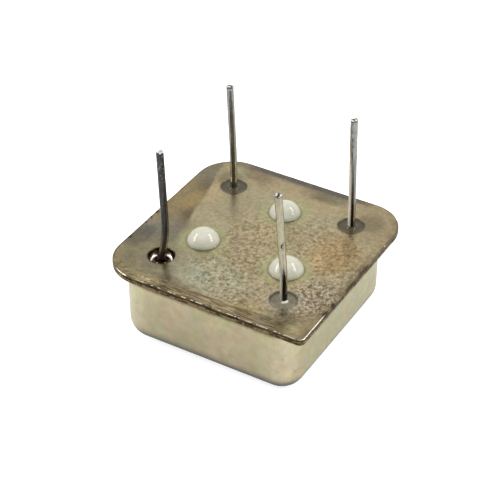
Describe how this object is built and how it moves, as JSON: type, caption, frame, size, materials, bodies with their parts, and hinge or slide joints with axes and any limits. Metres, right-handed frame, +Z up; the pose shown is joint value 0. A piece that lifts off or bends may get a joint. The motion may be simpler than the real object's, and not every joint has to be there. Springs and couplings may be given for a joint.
{
  "type": "crystal oscillator",
  "caption": "Quartz clock oscillator in a welded square metal can, lying on its closed face: tarnished base plate up, with bent wire leads in glass seals and white glass dome standoffs.",
  "frame": {"origin": "centre of the can's closed face, on the surface that the part lies on", "axes": "+Z up along the leads, +X from the ground lead to lead 1, +Y from lead 1 to the supply lead"},
  "size_m": [0.0126, 0.0126, 0.012],
  "materials": {
    "can_nickel": "satin nickel plate on drawn steel",
    "base_nickel": "tarnished, speckled nickel plate on coined steel",
    "lead_tin": "dull tinned wire with bright cut ends",
    "seal_glass": "grey sealing glass",
    "standoff_glass": "glossy opal white glass",
    "braze": "shiny brown braze fillet",
    "alumina": "white fired ceramic",
    "solder": "tin solder",
    "silicon": "polished silicon",
    "capacitor_ceramic": "tan fired ceramic",
    "quartz": "lapped clear quartz",
    "spring_strip": "rolled nickel silver strip",
    "silver_cement": "matt silver-filled cement"
  },
  "bodies": {
    "root": {"can": "can_nickel", "base_plate": "base_nickel", "seal_enable": "seal_glass", "seal_supply": "seal_glass", "seal_output": "seal_glass", "ground_braze": "braze", "lead_enable": "lead_tin", "lead_ground": "lead_tin", "lead_output": "lead_tin", "lead_supply": "lead_tin", "standoff_left": "standoff_glass", "standoff_right": "standoff_glass", "standoff_back": "standoff_glass", "substrate": "alumina", "solder_joints": "solder", "oscillator_chip": "silicon", "chip_bond": "silver_cement", "bypass_capacitor": "capacitor_ceramic", "capacitor_caps": "solder", "crystal_blank": "quartz", "clip_left": "spring_strip", "clip_right": "spring_strip", "cement_left": "silver_cement", "cement_right": "silver_cement"}
  },
  "joints": []
}
